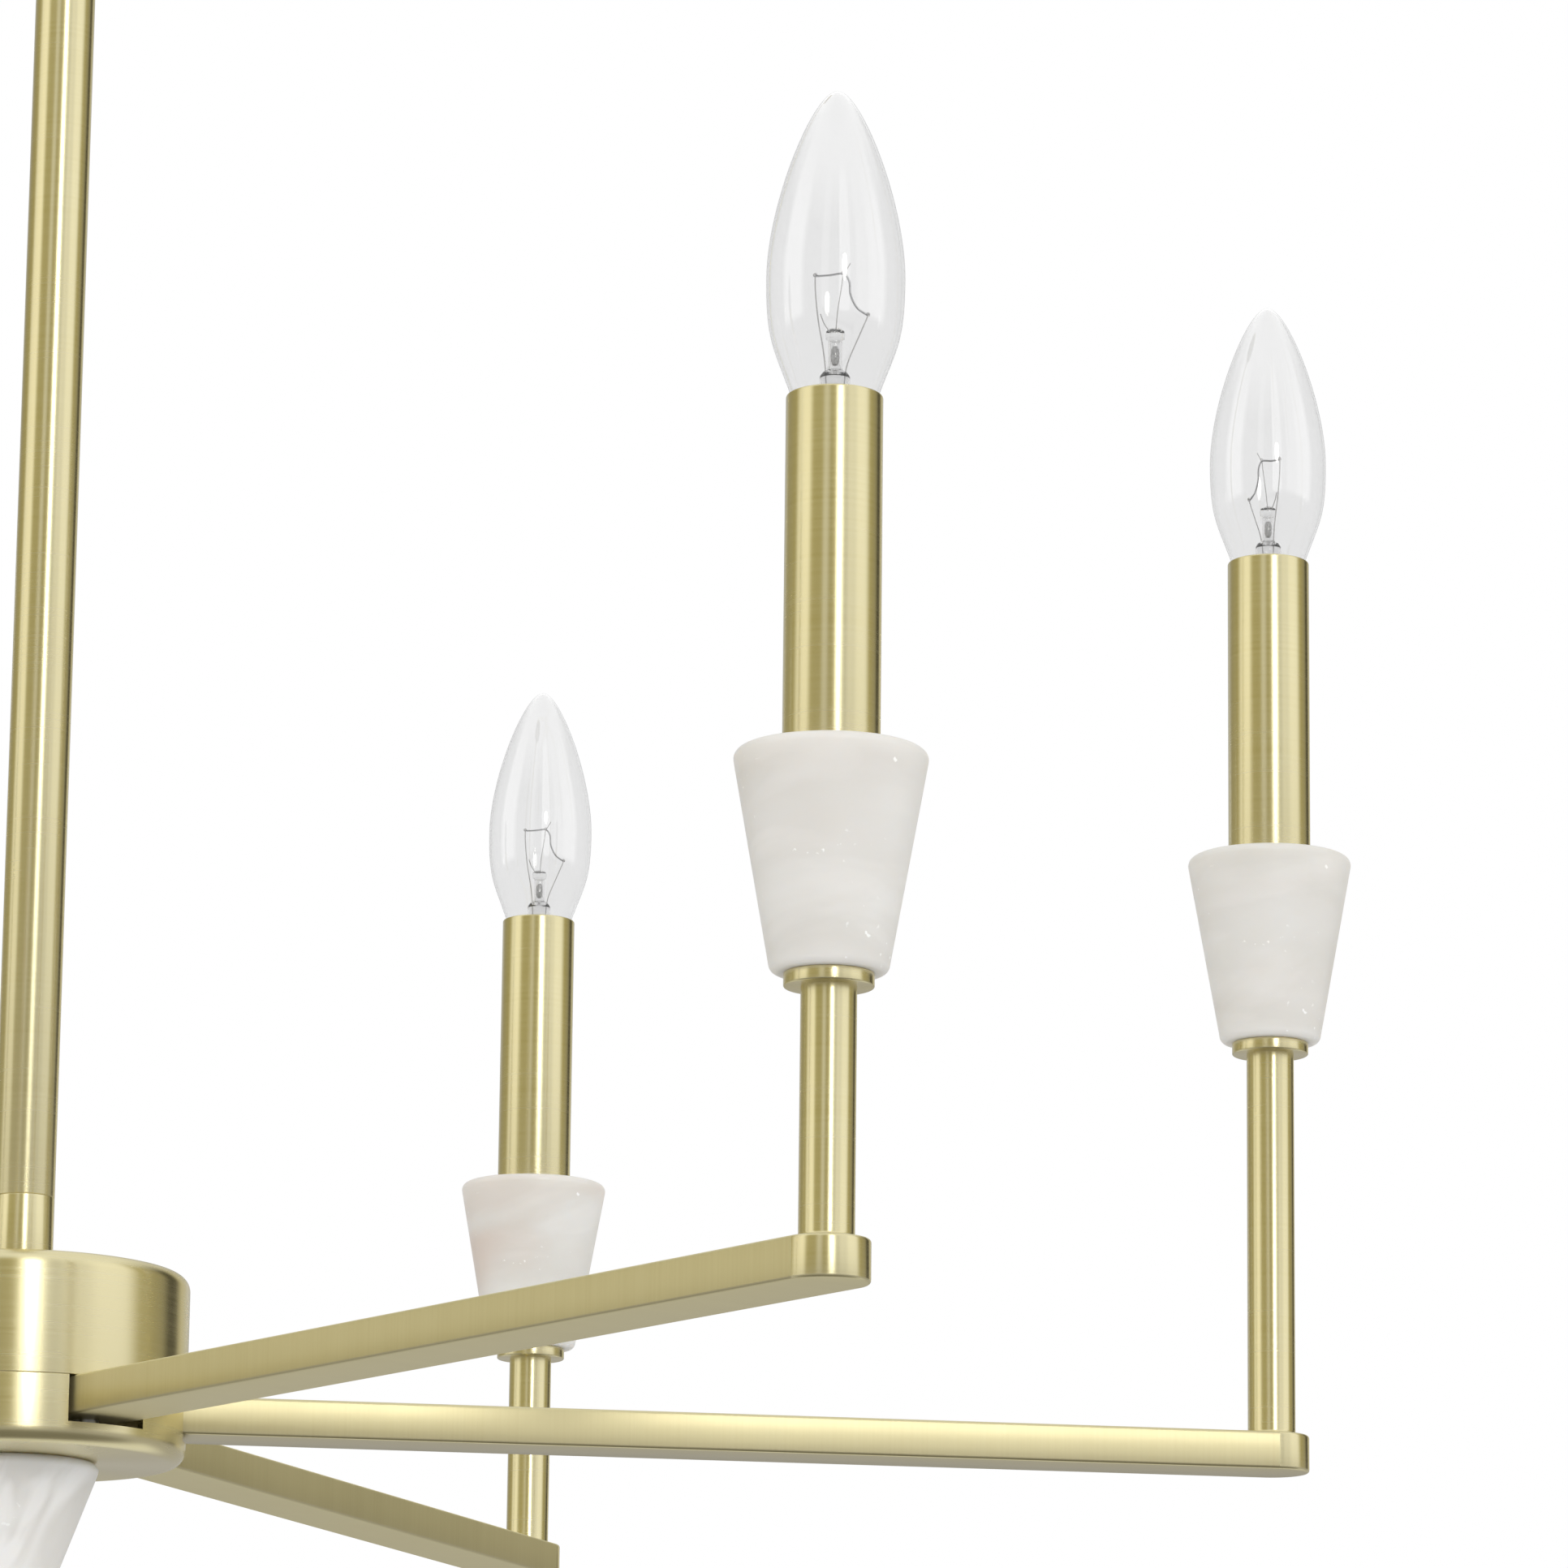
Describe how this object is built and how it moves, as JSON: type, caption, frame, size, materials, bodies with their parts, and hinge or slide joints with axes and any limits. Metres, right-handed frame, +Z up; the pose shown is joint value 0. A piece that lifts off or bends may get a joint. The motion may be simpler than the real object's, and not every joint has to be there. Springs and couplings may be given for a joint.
{
  "type": "multi arm chandelier",
  "caption": "Ceiling chandelier on a downrod: round hub, flat arms with alternating risers, veined stone cups, brass candle sleeves, clear candle bulbs and a stone finial.",
  "frame": {"origin": "centre of the mounting strap's two screw slots, in the ceiling plane", "axes": "+Z up, away from the lamp into the ceiling; +X along arm 1, which has a tall riser"},
  "size_m": [0.71, 0.6208, 0.7915],
  "materials": {
    "satin_brass": "brushed satin",
    "veined_stone": "polished, cloudy veins",
    "clear_glass": "clear",
    "plated_base": "bright",
    "zinc_steel": "zinc plated",
    "moulded_phenolic": "matte",
    "lead_insulation": "matte"
  },
  "bodies": {
    "ceiling_mount": {"canopy": "satin_brass", "canopy_screws": "zinc_steel", "canopy_knobs": "satin_brass", "crossbar": "zinc_steel", "crossbar_nipple": "zinc_steel", "nipple_nuts": "zinc_steel"},
    "swivel": {"swivel_yoke": "satin_brass", "swivel_pin": "zinc_steel"},
    "fixture": {"arm_1": "satin_brass", "arm_2": "satin_brass", "arm_3": "satin_brass", "arm_4": "satin_brass", "arm_5": "satin_brass", "arm_6": "satin_brass", "short_risers": "satin_brass", "tall_risers": "satin_brass", "cup_washers": "satin_brass", "cup_1": "veined_stone", "cup_2": "veined_stone", "cup_3": "veined_stone", "cup_4": "veined_stone", "cup_5": "veined_stone", "cup_6": "veined_stone", "sleeve_1": "satin_brass", "sleeve_2": "satin_brass", "sleeve_3": "satin_brass", "sleeve_4": "satin_brass", "sleeve_5": "satin_brass", "sleeve_6": "satin_brass", "lamp_sockets": "moulded_phenolic", "socket_posts": "zinc_steel", "post_nuts": "zinc_steel", "hub_drum": "satin_brass", "hub_collar": "satin_brass", "arm_plate": "zinc_steel", "arm_screws": "zinc_steel", "centre_rod": "zinc_steel", "centre_nuts": "zinc_steel", "terminal_ring": "moulded_phenolic", "arm_leads": "lead_insulation", "supply_lead": "lead_insulation", "stem_coupler": "satin_brass", "lower_downrod": "satin_brass", "upper_downrod": "satin_brass", "rod_nipples": "zinc_steel", "swivel_knuckle": "satin_brass", "finial_stone": "veined_stone", "finial_nut": "satin_brass"},
    "bulb_carrier_1": {"bulb_base_1": "plated_base"},
    "bulb_1": {"bulb_glass_1": "clear_glass"},
    "bulb_carrier_2": {"bulb_base_2": "plated_base"},
    "bulb_2": {"bulb_glass_2": "clear_glass"},
    "bulb_carrier_3": {"bulb_base_3": "plated_base"},
    "bulb_3": {"bulb_glass_3": "clear_glass"},
    "bulb_carrier_4": {"bulb_base_4": "plated_base"},
    "bulb_4": {"bulb_glass_4": "clear_glass"},
    "bulb_carrier_5": {"bulb_base_5": "plated_base"},
    "bulb_5": {"bulb_glass_5": "clear_glass"},
    "bulb_carrier_6": {"bulb_base_6": "plated_base"},
    "bulb_6": {"bulb_glass_6": "clear_glass"}
  },
  "joints": [
    {"name": "swivel_turn", "type": "hinge", "parent": "ceiling_mount", "child": "swivel", "pos_m": [0, 0, -0.03], "axis": [0, 0, 1], "range_deg": [-170, 170]},
    {"name": "swivel_tilt", "type": "hinge", "parent": "swivel", "child": "fixture", "pos_m": [0, 0, -0.042], "axis": [1, 0, 0], "range_deg": [-30, 30]},
    {"name": "bulb_1_rise", "type": "slide", "parent": "fixture", "child": "bulb_carrier_1", "axis": [0, 0, 1], "range_m": [0, 0.00763]},
    {"name": "bulb_1_turn", "type": "hinge", "parent": "bulb_carrier_1", "child": "bulb_1", "pos_m": [0.333, 0, -0.4823], "axis": [0, 0, 1], "range_deg": [0, 1080]},
    {"name": "bulb_2_rise", "type": "slide", "parent": "fixture", "child": "bulb_carrier_2", "axis": [0, 0, 1], "range_m": [0, 0.00763]},
    {"name": "bulb_2_turn", "type": "hinge", "parent": "bulb_carrier_2", "child": "bulb_2", "pos_m": [0.1665, 0.28839, -0.5288], "axis": [0, 0, 1], "range_deg": [0, 1080]},
    {"name": "bulb_3_rise", "type": "slide", "parent": "fixture", "child": "bulb_carrier_3", "axis": [0, 0, 1], "range_m": [0, 0.00763]},
    {"name": "bulb_3_turn", "type": "hinge", "parent": "bulb_carrier_3", "child": "bulb_3", "pos_m": [-0.1665, 0.28839, -0.4823], "axis": [0, 0, 1], "range_deg": [0, 1080]},
    {"name": "bulb_4_rise", "type": "slide", "parent": "fixture", "child": "bulb_carrier_4", "axis": [0, 0, 1], "range_m": [0, 0.00763]},
    {"name": "bulb_4_turn", "type": "hinge", "parent": "bulb_carrier_4", "child": "bulb_4", "pos_m": [-0.333, 0, -0.5288], "axis": [0, 0, 1], "range_deg": [0, 1080]},
    {"name": "bulb_5_rise", "type": "slide", "parent": "fixture", "child": "bulb_carrier_5", "axis": [0, 0, 1], "range_m": [0, 0.00763]},
    {"name": "bulb_5_turn", "type": "hinge", "parent": "bulb_carrier_5", "child": "bulb_5", "pos_m": [-0.1665, -0.28839, -0.4823], "axis": [0, 0, 1], "range_deg": [0, 1080]},
    {"name": "bulb_6_rise", "type": "slide", "parent": "fixture", "child": "bulb_carrier_6", "axis": [0, 0, 1], "range_m": [0, 0.00763]},
    {"name": "bulb_6_turn", "type": "hinge", "parent": "bulb_carrier_6", "child": "bulb_6", "pos_m": [0.1665, -0.28839, -0.5288], "axis": [0, 0, 1], "range_deg": [0, 1080]}
  ],
  "couplings": [
    {"joint": "bulb_1_rise", "follows": "bulb_1_turn", "m_per_rad": 0.00040425},
    {"joint": "bulb_2_rise", "follows": "bulb_2_turn", "m_per_rad": 0.00040425},
    {"joint": "bulb_3_rise", "follows": "bulb_3_turn", "m_per_rad": 0.00040425},
    {"joint": "bulb_4_rise", "follows": "bulb_4_turn", "m_per_rad": 0.00040425},
    {"joint": "bulb_5_rise", "follows": "bulb_5_turn", "m_per_rad": 0.00040425},
    {"joint": "bulb_6_rise", "follows": "bulb_6_turn", "m_per_rad": 0.00040425}
  ]
}
